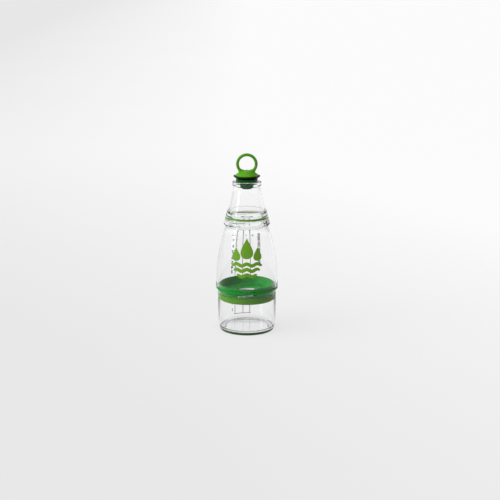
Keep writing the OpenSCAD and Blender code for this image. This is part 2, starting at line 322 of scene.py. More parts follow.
def turned(profile: np.ndarray, threads: Sequence[Thread] = (), segments: int = SEGMENTS) -> Surface:
    """Surface of revolution about the Z axis, with thread ribs.

    Point (i, j) is (r cos a, r sin a, z) with a = 2 pi j / segments and r = r_i + the threads' relief.

    Args:
        profile: radius and height, either a closed loop without its last point or a line from pole to pole.
        threads: threads on this wall. Each acts only where the profile lies on its root radius.
        segments: points round the axis.
    Returns:
        The closed surface.
    """
    line = refined(profile, threads, FINE_STEP)
    angle = np.arange(segments) * 2 * math.pi / segments
    radius = np.repeat(line[:, :1], segments, axis=1)
    height = np.repeat(line[:, 1:], segments, axis=1)
    turn = np.repeat(angle[None], len(line), axis=0)
    for thread in threads:
        on_root = np.abs(line[:, :1] - thread.root) < 0.01
        radius = radius + np.where(on_root, thread.relief(turn, height), 0)
    return closed_grid(np.stack([radius * np.cos(turn), radius * np.sin(turn), height], axis=-1))


def add_node(
    tree: bpy.types.NodeTree,
    kind: str,
    settings: dict[str, object] | None = None,
    links: dict[str | int, bpy.types.NodeSocket] | None = None,
) -> bpy.types.Node:
    """Adds a node to a tree.

    Args:
        tree: the tree.
        kind: the node's type name, without its "ShaderNode" prefix.
        settings: values by name, for the node's own properties or its input sockets. A number names a
            socket by its place.
        links: output sockets by the name or place of the input that they feed.
    Returns:
        The node.
    """
    node = tree.nodes.new("ShaderNode" + kind)
    for key, value in (settings or {}).items():
        if isinstance(key, str) and hasattr(node, key):
            setattr(node, key, value)
        else:
            node.inputs[key].default_value = value
    for key, socket in (links or {}).items():
        tree.links.new(socket, node.inputs[key])
    return node


def shown_rays(tree: bpy.types.NodeTree) -> bpy.types.NodeSocket:
    """1 for rays from the camera, mirrored or bent rays, and 0 for rays that only gather light."""
    path = add_node(tree, "LightPath")
    shown = path.outputs["Is Camera Ray"]
    for kind in ("Is Glossy Ray", "Is Transmission Ray"):
        links = {0: shown, 1: path.outputs[kind]}
        shown = add_node(tree, "Math", {"operation": "MAXIMUM"}, links).outputs[0]
    return shown


@dataclass(frozen=True)
class Finish:
    """A finish, from which a material is made once."""

    name: str

    def shader(self, tree: bpy.types.NodeTree) -> bpy.types.NodeSocket:
        """Adds the nodes of the finish and returns the surface socket."""
        raise NotImplementedError

    def inside(self, tree: bpy.types.NodeTree) -> bpy.types.NodeSocket | None:
        """Adds the nodes for what fills the piece, or returns None."""
        return None

    def material(self) -> bpy.types.Material:
        """The finish's material, made at the first call."""
        known = bpy.data.materials.get(self.name)
        if known:
            return known
        made = bpy.data.materials.new(self.name)
        made.use_nodes = True
        tree = made.node_tree
        tree.nodes.clear()
        links = {"Surface": self.shader(tree)}
        filling = self.inside(tree)
        if filling:
            links["Volume"] = filling
        add_node(tree, "OutputMaterial", links=links)
        return made


def object_noise(tree: bpy.types.NodeTree, size_mm: float, detail: float) -> bpy.types.NodeSocket:
    """Noise on Object coordinates whose blobs are about size_mm across, as a value round 0.5."""
    place = add_node(tree, "TexCoord")
    noise = add_node(
        tree,
        "TexNoise",
        {"Scale": 1 / (size_mm * MM), "Detail": detail, "Roughness": 0.55},
        {"Vector": place.outputs["Object"]},
    )
    return noise.outputs["Fac"]


@dataclass(frozen=True)
class ClearMoulding(Finish):
    """Clear copolyester, injection moulded and polished: sharp reflections, a faint grey-green depth.

    The tint is in the filling, so thick places and walls seen edge on are darker. Flow marks from moulding
    bend the reflections a little. Lamps reach what is behind the wall through a see-through share, which
    loses more where they graze the wall.
    """

    ior: float = 1.5
    roughness: float = 0.012
    flow_mm: float = 24.0
    flow_depth: float = 0.02
    haze_mm: float = 30.0
    tint: str = "ffffff"
    mirror: str = "b0b0b4"
    depth_tint: str = "a8a8bc"
    absorb_per_m: float = 7.0
    lamp_square: str = "fdfdfd"
    lamp_grazing: str = "c6cec8"

    def shader(self, tree: bpy.types.NodeTree) -> bpy.types.NodeSocket:
        """Clear shader with a see-through share for lamp and diffuse rays."""
        haze = add_node(
            tree,
            "MapRange",
            {"From Min": 0.35, "From Max": 0.75, "To Min": self.roughness * 0.4, "To Max": self.roughness * 1.8},
            {"Value": object_noise(tree, self.haze_mm, 3.0)},
        )
        flow = add_node(
            tree,
            "Bump",
            {"Strength": self.flow_depth, "Distance": MM},
            {"Height": object_noise(tree, self.flow_mm, 1.0)},
        )
        clear = add_node(
            tree,
            "BsdfPrincipled",
            {
                "IOR": self.ior,
                "Transmission Weight": 1.0,
                "Base Color": linear(self.tint),
                "Specular Tint": linear(self.mirror),
            },
            {"Roughness": haze.outputs[0], "Normal": flow.outputs[0]},
        )
        grazing = add_node(tree, "LayerWeight", {"Blend": 0.3})
        loss = add_node(
            tree,
            "Mix",
            {"data_type": "RGBA", 6: linear(self.lamp_square), 7: linear(self.lamp_grazing)},
            {0: grazing.outputs["Facing"]},
        )
        through = add_node(tree, "BsdfTransparent", links={"Color": loss.outputs[2]})
        path = add_node(tree, "LightPath")
        lamps = add_node(
            tree,
            "Math",
            {"operation": "MAXIMUM"},
            {0: path.outputs["Is Shadow Ray"], 1: path.outputs["Is Diffuse Ray"]},
        )
        mixed = add_node(
            tree, "MixShader", links={0: lamps.outputs[0], 1: clear.outputs[0], 2: through.outputs[0]}
        )
        return mixed.outputs[0]

    def inside(self, tree: bpy.types.NodeTree) -> bpy.types.NodeSocket | None:
        """Even absorption, stronger for red and blue than for green."""
        filling = add_node(
            tree, "VolumeAbsorption", {"Color": linear(self.depth_tint), "Density": self.absorb_per_m}
        )
        return filling.outputs[0]


@dataclass(frozen=True)
class TintedEdge(ClearMoulding):
    """Clear moulding with a thin dark green film on its outside, clear again as seen from within. The film is painted
    shade and painted reflection: the dark contact shade and the green insert, as the heel would show them refracted.
    """

    # Colour of the painted shade film on the heel.
    film: str = "24520a"
    film_share: float = 0.97

    def shader(self, tree: bpy.types.NodeTree) -> bpy.types.NodeSocket:
        """Clear shader under a film that only outer faces show: the film is painted shade."""
        side = add_node(tree, "NewGeometry")
        share = add_node(
            tree,
            "Math",
            {"operation": "MULTIPLY_ADD", 1: -self.film_share, 2: self.film_share},
            {0: side.outputs["Backfacing"]},
        )
        film = add_node(
            tree,
            "BsdfPrincipled",
            {"Base Color": linear(self.film), "Roughness": 0.35, "Specular IOR Level": 0.2},
        )
        links = {0: share.outputs[0], 1: super().shader(tree), 2: film.outputs[0]}
        return add_node(tree, "MixShader", links=links).outputs[0]


@dataclass(frozen=True)
class Coloured(Finish):
    """A coloured polymer whose shade and gloss drift a little over the surface, with a fine grain."""

    light: str = "808080"
    dark: str = "606060"
    roughness: float = 0.4
    gloss_drift: float = 0.08
    cloud_mm: float = 9.0
    grain_mm: float = 0.5
    grain_depth_mm: float = 0.02
    grain_strength: float = 0.2
    under_skin: float = 0.0
    under_skin_mm: float = 1.0
    specular: float = 0.5

    def shader(self, tree: bpy.types.NodeTree) -> bpy.types.NodeSocket:
        """Principled shader with clouded colour and roughness and a grain bump."""
        cloud = object_noise(tree, self.cloud_mm, 4.0)
        shade = add_node(
            tree,
            "ValToRGB",
            links={"Fac": cloud},
        )
        ramp = shade.color_ramp
        ramp.elements[0].position, ramp.elements[0].color = 0.32, linear(self.dark)
        ramp.elements[1].position, ramp.elements[1].color = 0.68, linear(self.light)
        gloss = add_node(
            tree,
            "MapRange",
            {
                "From Min": 0.3,
                "From Max": 0.7,
                "To Min": self.roughness - self.gloss_drift,
                "To Max": self.roughness + self.gloss_drift,
            },
            {"Value": cloud},
        )
        grain = add_node(
            tree,
            "Bump",
            {"Strength": self.grain_strength, "Distance": self.grain_depth_mm * MM},
            {"Height": object_noise(tree, self.grain_mm, 2.0)},
        )
        plain = add_node(
            tree,
            "BsdfPrincipled",
            {
                "Subsurface Weight": self.under_skin,
                "Subsurface Scale": self.under_skin_mm * MM,
                "Specular IOR Level": self.specular,
            },
            {
                "Base Color": shade.outputs[0],
                "Roughness": gloss.outputs[0],
                "Normal": grain.outputs[0],
            },
        )
        return plain.outputs[0]


CLEAR = ClearMoulding("clear_copolyester_moulded")
# The same plastic where the cup stands: spark-eroded in the mould, so it looks like ground glass. Its grey-green tint
# is painted shade where the cup meets the floor, and lamps pass it less.
FOOT = ClearMoulding(
    "clear_copolyester_stippled_painted_shade",
    roughness=0.25,
    tint="dfe8e1",
    lamp_square="cfd8d1",
    lamp_grazing="9aa59c",
)
# The heel's lowest edge: a dark green film painted on its outer faces, as painted shade and painted reflection of the
# contact shade and the green insert refracted in the heel.
HEEL_SHADE = TintedEdge("clear_copolyester_heel_painted_shade", roughness=0.1)
# Polypropylene, moulded: even green with a soft sheen and a little light carried under the skin.
INSERT_GREEN = Coloured(
    "green_polypropylene_moulded", light="16962c", dark="128a26", roughness=0.42, under_skin=0.1, specular=0.1
)
# Silicone, moulded: satin, slightly clouded olive, as soft rubber is.
SEAL_OLIVE = Coloured(
    "olive_silicone_moulded", light="5f9a24", dark="578f20", roughness=0.45, under_skin=0.1, specular=0.15
)
# Silicone, moulded: green and glossier than the rest, darkened to deep green as painted shade under the dome and lip.
PLUG_GREEN = Coloured(
    "green_silicone_painted_shade", light="045a12", dark="034d0f", roughness=0.25, under_skin=0.1, specular=0.12
)
# Rubber, moulded thin: dark green and satin, darkened to near black as painted shade of its underside in the dome's
# shadow.
LIP_PAINTED_SHADE = Coloured("dark_green_rubber_painted_shade", light="05150a", dark="041108", roughness=0.4, specular=0.15)
# ABS, moulded with a spark-eroded texture: matt yellow-green, fine grain.
CAP_GREEN = Coloured(
    "yellow_green_abs_textured",
    light="559a12",
    dark="4d920e",
    roughness=0.48,
    grain_mm=0.6,
    grain_strength=0.35,
    under_skin=0.05,
    specular=0.15,
)
# Milky white on the grinder's throat, light carried well under the skin: painted light for the bright patch seen down
# through the hole.
THROAT_PAINTED_LIGHT = Coloured(
    "throat_painted_light_white", light="fbfbf8", dark="f4f5f1", roughness=0.35, under_skin=0.4
)
# Screen printed ink: flat and slightly uneven in density.
MOTIF_INK = Coloured(
    "green_screen_ink", light="679c09", dark="5f9407", roughness=0.5, cloud_mm=2.5, grain_mm=0.35
)
SCALE_INK = Coloured(
    "charcoal_screen_ink", light="2a302c", dark="202622", roughness=0.55, cloud_mm=1.5, grain_mm=0.35
)


def place(
    name: str,
    surface: Surface,
    finish: Finish,
    part: Part,
    slot: Slot | None = None,
    stands_for: Sequence[str] = (),
    sharp_deg: float = 38.0,
) -> bpy.types.Object:
    """Makes a piece, dresses it and fastens it to its body.

    Args:
        name: the piece's name.
        surface: its surface.
        finish: its finish.
        part: the body that it rides on.
        slot: the record's slot of its finish; not used.
        stands_for: CAD nodes that it replaces.
        sharp_deg: angle above which an edge shows as sharp.
    Returns:
        The object, at the origin.
    """
    mesh = surface.mesh(name, sharp_deg)
    mesh.materials.append(finish.material())
    piece = bpy.data.objects.new(name, mesh)
    bpy.context.scene.collection.objects.link(piece)
    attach(piece, part.value)
    if stands_for:
        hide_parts(*stands_for)
    log.info("%s: %d vertices on %s", name, len(mesh.vertices), part.value)
    return piece


def second_finish(
    mesh: bpy.types.Mesh, finish: Finish, where: Callable[[np.ndarray, np.ndarray], np.ndarray]
) -> None:
    """Gives some faces of a mesh a further finish.

    Args:
        mesh: the mesh, already dressed.
        finish: the further finish.
        where: test on the radius and height of the faces' centres, in millimetres.
    """
    mesh.materials.append(finish.material())
    centre = np.zeros(3 * len(mesh.polygons))
    mesh.polygons.foreach_get("center", centre)
    x, y, z = centre.reshape(-1, 3).T / MM
    number = np.zeros(len(mesh.polygons), np.int32)
    mesh.polygons.foreach_get("material_index", number)
    number[where(np.hypot(x, y), z)] = len(mesh.materials) - 1
    mesh.polygons.foreach_set("material_index", number)


@dataclass(frozen=True)
class Wall:
    """Outside of a turned wall, onto which ink is bent."""

    line: np.ndarray

    def radius(self, height: np.ndarray) -> np.ndarray:
        """Radius at a height, along the wall's outer line."""
        order = np.argsort(self.line[:, 1])
        return np.interp(height, self.line[order, 1], self.line[order, 0])

    def bend(self, across: np.ndarray, height: np.ndarray, proud: np.ndarray, from_deg: float) -> np.ndarray:
        """Points bent onto the wall.

        The angle from the front, counted to the right as one faces the wall, is from_deg plus the arc
        across / r. The point stands at (r + proud) (sin, -cos).

        Args:
            across: distance along the wall to the right of the meridian, in millimetres.
            height: heights in millimetres.
            proud: height above the wall, negative inside it.
            from_deg: the meridian's angle from the front.
        Returns:
            Points, with x, y and z on the last axis.
        """
        base = self.radius(height)
        angle = math.radians(from_deg) + across / base
        radius = base + proud
        return np.stack([radius * np.sin(angle), -radius * np.cos(angle), height], axis=-1)


@dataclass(frozen=True)
class Ink:
    """Thin printed plates on a wall. They reach into the wall a little, so that no air shows under them."""

    wall: Wall
    sunk: float = 0.05
    proud: float = 0.03
    embolden: float = 0.2

    def plate(self, across: np.ndarray, height: np.ndarray, centre: tuple[float, float], at_deg: float) -> Surface:
        """Plate inside a star-shaped outline.

        Ring k is the outline drawn in towards the centre by the share s_k, below and then above, so that
        point (k, j) = centre + s_k (outline_j - centre).

        Args:
            across: the outline's distances from the meridian.
            height: the outline's heights.
            centre: a point from which the whole outline is seen.
            at_deg: the meridian's angle from the front.
        Returns:
            The closed plate.
        """
        share = np.array([0, 0.35, 0.7, 1, 1, 0.7, 0.35, 0])[:, None]
        depth = np.array([-self.sunk] * 4 + [self.proud] * 4)[:, None]
        u = centre[0] + share * (across - centre[0])[None]
        v = centre[1] + share * (height - centre[1])[None]
        return closed_grid(self.wall.bend(u, v, np.broadcast_to(depth, u.shape), at_deg))

    def band(self, across: np.ndarray, height: np.ndarray, half: np.ndarray, at_deg: float) -> Surface:
        """Band along a line, with a rectangular section that closes where its half width is 0.

        Args:
            across: the centre line's distances from the meridian.
            height: the centre line's heights.
            half: half widths along it. The first and last are 0.
            at_deg: the meridian's angle from the front.
        Returns:
            The closed band.
        """
        way = np.stack([np.gradient(across), np.gradient(height)], axis=1)
        way /= np.linalg.norm(way, axis=1)[:, None]
        side = np.array([-1, 1, 1, -1])[None] * half[:, None]
        depth = np.broadcast_to(np.array([-self.sunk, -self.sunk, self.proud, self.proud]), side.shape).copy()
        depth[[0, -1]] = 0
        u = across[:, None] - side * way[:, 1:]
        v = height[:, None] + side * way[:, :1]
        return closed_grid(self.wall.bend(u, v, depth, at_deg))

    def stroke(self, start: tuple[float, float], end: tuple[float, float], width: float, at_deg: float) -> Surface:
        """Straight line of ink from one point (across, height) to another."""
        share = np.concatenate([[0, 0], np.linspace(0, 1, 24), [1, 1]])
        half = np.full(len(share), width / 2)
        half[[0, -1]] = 0
        reach = np.linspace(-1e-4, 1e-4, len(share))
        u = start[0] + (end[0] - start[0]) * (share + reach)
        v = start[1] + (end[1] - start[1]) * (share + reach)
        return self.band(u, v, half, at_deg)

    def number(self, value: int, size: float, centre: tuple[float, float], at_deg: float, turned_up: bool) -> Surface:
        """A plain number.

        Args:
            value: the number.
            size: height of its digits, in millimetres.
            centre: its centre (across, height).
            at_deg: the meridian's angle from the front.
            turned_up: whether it reads upwards.
        Returns:
            The closed plates of its digits.
        """
        letters = bpy.data.curves.new("number", "FONT")
        letters.body = str(value)
        letters.size = size / 0.7
        letters.extrude = (self.sunk + self.proud) / 2
        letters.align_x, letters.align_y = "CENTER", "CENTER"
        letters.resolution_u = 4
        letters.offset = self.embolden
        carrier = bpy.data.objects.new("number", letters)
        flat = bpy.data.meshes.new_from_object(carrier)
        flat.calc_loop_triangles()
        points = np.zeros(len(flat.vertices) * 3)
        flat.vertices.foreach_get("co", points)
        corners = np.zeros(len(flat.loop_triangles) * 3, np.int32)
        flat.loop_triangles.foreach_get("vertices", corners)
        spots, number_of = np.unique(np.round(points.reshape(-1, 3), 4), axis=0, return_inverse=True)
        faces = number_of.reshape(-1)[corners].reshape(-1, 3)
        bpy.data.objects.remove(carrier)
        bpy.data.curves.remove(letters)
        bpy.data.meshes.remove(flat)
        u, v = (-spots[:, 1], spots[:, 0]) if turned_up else (spots[:, 0], spots[:, 1])
        proud = spots[:, 2] + (self.proud - self.sunk) / 2
        return Surface(
            self.wall.bend(centre[0] + u, centre[1] + v, proud, at_deg), triangles=faces
        ).outward()


@dataclass
class ScalePrint:
    """Measuring scale printed on the back of the walls: three upright lines, ticks and plain numbers."""

    lines_deg: tuple[float, float, float] = (204.5, 189.0, 173.0)
    cup_lines_deg: tuple[float, float, float] = (207.5, 189.0, 174.0)
    line_w: float = 0.7
    tick_w: float = 0.6
    tick: float = 2.2
    number_size: float = 4.2
    number_gap: float = 4.8
    side_size: float = 3.6
    side_gap: float = -12.2
    side_top: float = 117.0
    side_step: float = 8.4
    low: float = 58.0
    top: float = 124.5
    base: float = 8.0
    cup_top: float = 50.0
    first_level: float = 64.0
    level_step: float = 5.6
    level_growth: float = 0.23
    levels: int = 8

    def heights(self) -> np.ndarray:
        """Levels of the numbers: first + step k + growth k^2, as the body narrows upwards."""
        k = np.arange(self.levels)
        return self.first_level + self.level_step * k + self.level_growth * k * k

    def on_body(self, wall: Wall) -> None:
        """Prints the body's part of the scale."""
        ink = Ink(wall)
        left, middle, right = self.lines_deg
        marks = [ink.stroke((0, self.low), (0, self.top), self.line_w, a) for a in self.lines_deg]
        marks += [ink.stroke((-1.5, self.top), (1.5, self.top), self.tick_w, a) for a in self.lines_deg]
        levels = self.heights()
        between = (levels[1:] + levels[:-1]) / 2
        marks += [ink.stroke((-self.tick, z), (0, z), self.tick_w, left) for z in levels]
        marks += [ink.stroke((-self.tick * 0.6, z), (0, z), self.tick_w, left) for z in between]
        for place_deg in (middle, right):
            marks += [
                ink.stroke((-1.0, self.top - step), (0, self.top - step), self.tick_w, place_deg)
                for step in (2.6, 5.2, 7.8)
            ]
        marks += [
            ink.number(k + 3, self.number_size, (self.number_gap, z), left, False)
            for k, z in enumerate(levels)
        ]
        marks += [
            ink.number(n, self.number_size, (-3.6, self.top - 9.0), a, False)
            for n, a in ((1, middle), (2, right))
        ]
        marks += [
            ink.number(350 - 50 * k, self.side_size, (self.side_gap, self.side_top - self.side_step * k), right, True)
            for k in range(6)
        ]
        place("body_scale_print", Surface.joined(marks), SCALE_INK, Part.BODY)

    def on_cup(self, wall: Wall) -> None:
        """Prints the cup's part of the scale."""
        ink = Ink(wall)
        left, middle, right = self.cup_lines_deg
        marks = [ink.stroke((0, self.base), (0, self.cup_top), self.line_w, a) for a in self.cup_lines_deg]
        marks.append(ink.stroke((-10.5, self.base), (13.0, self.base), self.tick_w, middle))
        marks.append(ink.stroke((0, 22.0), (2.4, 22.0), self.tick_w, left))
        marks.append(ink.number(1, 3.2, (4.2, 13.4), left, False))
        marks.append(ink.number(2, 3.2, (4.2, 22.0), left, False))
        place("cup_scale_print", Surface.joined(marks), SCALE_INK, Part.CUP)


@dataclass
class DropMotif:
    """Green printed motif on the front: three falling drops over waves of dressing."""

    drops: tuple[tuple[float, float, float, float], ...] = (
        (0.0, 97.0, 25.0, 15.5),
        (-13.2, 94.6, 16.5, 10.6),
        (13.2, 94.6, 16.5, 10.6),
    )
    waves: tuple[tuple[float, float], ...] = ((90.0, 19.5), (83.4, 16.5), (76.8, 12.5))
    wave_half: float = 2.15
    wave_rise: float = 1.15
    wave_length: float = 12.6
    tip_power: float = 1.6

    def drop(self, ink: Ink, across: float, low: float, tall: float, wide: float) -> Surface:
        """One drop: u = w/2 k sin t sin(t/2)^p and v = h/2 cos t, whose point is at t = 0."""
        t = np.arange(96) * 2 * math.pi / 96
        shape = np.sin(t) * np.abs(np.sin(t / 2)) ** self.tip_power
        u = across + wide / 2 * shape / np.abs(shape).max()
        v = low + tall / 2 * (1 + np.cos(t))
        return ink.plate(u, v, (across, low + tall * 0.34), 0.0)

    def wave(self, ink: Ink, height: float, half_length: float) -> Surface:
        """One wave: a sine line whose half width follows (1 - s^6)^(1/2) and so ends round."""
        s = np.sin(np.linspace(-math.pi / 2, math.pi / 2, 81))
        u = s * half_length
        v = height + self.wave_rise * np.cos(u * 2 * math.pi / self.wave_length)
        half = self.wave_half * np.sqrt(np.clip(1 - s**6, 0, 1))
        half[[0, -1]] = 0
        return ink.band(u, v, half, 0.0)

    def build(self, wall: Wall) -> None:
        """Prints the motif."""
        ink = Ink(wall)
        shapes = [self.drop(ink, *d) for d in self.drops] + [self.wave(ink, *w) for w in self.waves]
        place("front_motif_print", Surface.joined(shapes), MOTIF_INK, Part.BODY)


@dataclass
class Cup:
    """Clear cup with a thick floor, and the silicone band that seals the insert in it."""

    foot_r: float = 32.5
    wall_r: float = 35.2
    heel_h: float = 11.0
    land_r: float = 27.5
    hollow: float = 1.2
    floor: float = 4.6
    inner_round: float = 3.0
    bore_r: float = 33.2
    mouth_r: float = 34.3
    bore_top: float = 46.7
    # Height below which the foot is stippled and carries its painted shade tint.
    stipple_h: float = 0.6
    # Height below which the heel's outer faces carry the painted shade film.
    heel_edge_h: float = 3.8
    thread: Thread = Thread(34.3, -0.95, 50.3, 4, 22, 45, 1.3)

    def outline(self) -> np.ndarray:
        """Outer line from the heel to the rim: r = wall - (wall - foot)(1-t)^2 over the heel."""
        rim = Extent.of("cup")
        t = np.linspace(0, 1, 21)
        heel = np.stack([self.wall_r - (self.wall_r - self.foot_r) * (1 - t) ** 2, self.heel_h * t], axis=1)
        return np.concatenate([heel, [[rim.radius, rim.high - 0.6]]])

    def build(self) -> Wall:
        """Builds the cup and its seal band.

        Returns:
            The cup's outer wall.
        """
        rim = Extent.of("cup")
        outer = self.outline()
        corner = self.bore_r - self.inner_round
        t = np.radians(np.linspace(0, -90, 17))
        inside = np.stack(
            [corner + self.inner_round * np.cos(t), self.floor + self.inner_round * (1 + np.sin(t))], axis=1
        )
        profile = rounded(
            [(0, self.hollow), (self.land_r - 2, self.hollow, 0.8), (self.land_r, 0, 0.8)]
            + [(self.foot_r, 0, 1.0)]
            + listed(outer[2:-1])
            + [
                (rim.radius, rim.high, 0.7),
                (self.mouth_r, rim.high, 0.5),
                (self.mouth_r, self.bore_top + 0.8, 0.3),
                (self.bore_r, self.bore_top, 0.4),
            ]
            + listed(inside)
            + [(0, self.floor)]
        )
        cup = place("cup_moulding", turned(profile, [self.thread]), CLEAR, Part.CUP, Slot.CLEAR, ["cup"])
        # Where the cup stands: rough stippling under a painted shade tint.
        second_finish(cup.data, FOOT, lambda r, z: (z < self.stipple_h) & (r > self.land_r - 1))
        # Painted shade and reflection: the dark green film on the heel's lowest outer faces.
        second_finish(cup.data, HEEL_SHADE, lambda r, z: (z < self.heel_edge_h) & (r > self.foot_r - 0.9))
        band = Extent.of("cup_seal_band")
        ring = seal_ring(31.85, self.bore_r + SQUEEZE, band.low, band.high, 0.5)
        place("cup_seal_moulding", ring, SEAL_OLIVE, Part.CUP_SEAL, Slot.SEAL, ["cup_seal_band"])
        return Wall(outer)


def seal_ring(inner_r: float, outer_r: float, low: float, high: float, edge: float) -> Surface:
    """Ring with a rectangular section and rounded edges."""
    middle = (low + high) / 2
    profile = rounded(
        [
            (inner_r, middle),
            (inner_r, low, edge * 0.5),
            (outer_r, low, edge),
            (outer_r, high, edge),
            (inner_r, high, edge * 0.5),
            (inner_r, middle),
        ]
    )
    return turned(profile[:-1])


@dataclass
class GrinderInsert:
    """Green insert with its bowl, flange and skirt, and the grinder ring with its curved teeth."""

    flange_low: float = 53.0
    flange_t: float = 2.8
    skirt_r: float = 32.5
    skirt_bore: float = 30.2
    seat_r: float = 31.8
    band_low: float = 39.85
    band_high: float = 46.45
    bowl_floor: float = 49.6
    floor_t: float = 1.7
    bowl_low_r: float = 31.0
    rim_r: float = 34.4
    seat_hole: float = 15.2
    groove: tuple[float, float, float] = (35.6, 37.2, 0.8)
    skirt_thread: Thread = Thread(32.5, 1.5, 48.8, 4, 22, 45, 1.3)
    rim_thread: Thread = Thread(34.4, 1.0, 57.95, 4, 10, 30, 0.8)
    throat_r: float = 9.6
    throat_low: float = 44.6
    teeth: int = 4
    first_tooth_deg: float = 36.0
    tooth_sweep_deg: float = 78.0

    def build(self) -> None:
        """Builds the insert, its grinder ring and the body's gasket."""
        size = Extent.of("grinder_insert")
        flange_top = self.flange_low + self.flange_t
        under = self.bowl_floor - self.floor_t
        inner, outer, deep = self.groove
        rim_in = self.rim_r - 1.0
        profile = rounded(
            [
                (self.seat_hole, (under + self.bowl_floor) / 2),
                (self.seat_hole, under, 0.2),
                (self.skirt_bore, under, 1.0),
                (self.skirt_bore, size.low, 0.3),
                (self.skirt_r, size.low, 0.3),
                (self.skirt_r, self.band_low, 0.1),
                (self.seat_r, self.band_low, 0.1),
                (self.seat_r, self.band_high, 0.1),
                (self.skirt_r, self.band_high, 0.1),
                (self.skirt_r, self.flange_low, 0.2),
                (size.radius, self.flange_low, 0.8),
                (size.radius, flange_top, 0.8),
                (outer, flange_top, 0.1),
                (outer, flange_top - deep, 0.1),
                (inner, flange_top - deep, 0.1),
                (inner, flange_top, 0.1),
                (self.rim_r, flange_top, 0.2),
                (self.rim_r, size.high, 0.5),
                (rim_in, size.high, 0.5),
                (self.bowl_low_r, self.bowl_floor, 1.8),
                (self.seat_hole, self.bowl_floor, 0.1),
                (self.seat_hole, (under + self.bowl_floor) / 2),
            ]
        )[:-1]
        surface = turned(profile, [self.skirt_thread, self.rim_thread])
        place("insert_moulding", surface, INSERT_GREEN, Part.INSERT, Slot.INSERT, ["grinder_insert"])
        grinder = place(
            "grinder_moulding", self.grinder(), INSERT_GREEN, Part.INSERT, Slot.INSERT, ["grinder_ring"]
        )
        # The throat is painted white: painted light for the bright patch seen through the hole.
        second_finish(grinder.data, THROAT_PAINTED_LIGHT, lambda r, z: (r < self.throat_r + 1) & (z < 48.7))
        gasket = Extent.of("body_gasket")
        ring = seal_ring(35.65, gasket.radius, gasket.low, gasket.high, 0.2)
        place("gasket_moulding", ring, SEAL_OLIVE, Part.BODY_SEAL, Slot.SEAL, ["body_gasket"])

    def grinder(self) -> Surface:
        """Grinder ring: funnel, plate and teeth."""
        size = Extent.of("grinder_ring")
        plate = 50.45
        profile = rounded(
            [
                (self.throat_r, 47.6),
                (self.throat_r, self.throat_low, 0.3),
                (self.throat_r + 0.9, self.throat_low, 0.3),
                (self.throat_r + 0.9, 47.0, 0.3),
                (15.15, 47.0, 0.2),
                (15.15, 49.65),
                (size.radius, 49.65),
                (size.radius, plate, 0.4),
                (15.4, plate, 0.4),
                (14.6, 51.0, 0.3),
                (13.6, 51.0, 0.4),
                (self.throat_r + 1.4, 49.6, 0.2),
                (self.throat_r, 48.6, 0.3),
                (self.throat_r, 47.6),
            ]
        )[:-1]
        turns = np.arange(self.teeth) * 360 / self.teeth + self.first_tooth_deg
        return Surface.joined([turned(profile)] + [self.tooth(a, plate, size.high) for a in turns])

    def tooth(self, start_deg: float, low: float, high: float) -> Surface:
        """One curved tooth.

        Its inner edge runs from 13.4 to 17.2 mm radius while it sweeps clockwise, its width shrinks from
        2.2 to 1 mm, and its crest slopes down to the tail. The section is a box with a rounded crest.

        Args:
            start_deg: angle of its thick end.
            low: level of the plate.
            high: level of the crest.
        Returns:
            The closed tooth.
        """
        t = np.linspace(0, 1, 33)
        radius = 13.4 + 3.8 * t
        width = 2.2 * (1 - 0.55 * t)
        crest = high - 0.7 * t * t
        angle = np.radians(start_deg - self.tooth_sweep_deg * t)
        across = np.array([0, 0, 0, 0.12, 0.3, 0.7, 0.88, 1, 1, 1])
        up = np.array([-0.2, 0.4, 0.8, 0.96, 1, 1, 0.96, 0.8, 0.4, -0.2])
        close = np.ones_like(t)
        close[[0, -1]] = 0
        r = radius[:, None] + width[:, None] * (0.5 + (across[None] - 0.5) * close[:, None])
        z = low + (crest[:, None] - low) * (0.4 + (up[None] - 0.4) * close[:, None])
        a = np.repeat(angle[:, None], len(across), axis=1)
        return closed_grid(np.stack([r * np.cos(a), r * np.sin(a), z], axis=-1))


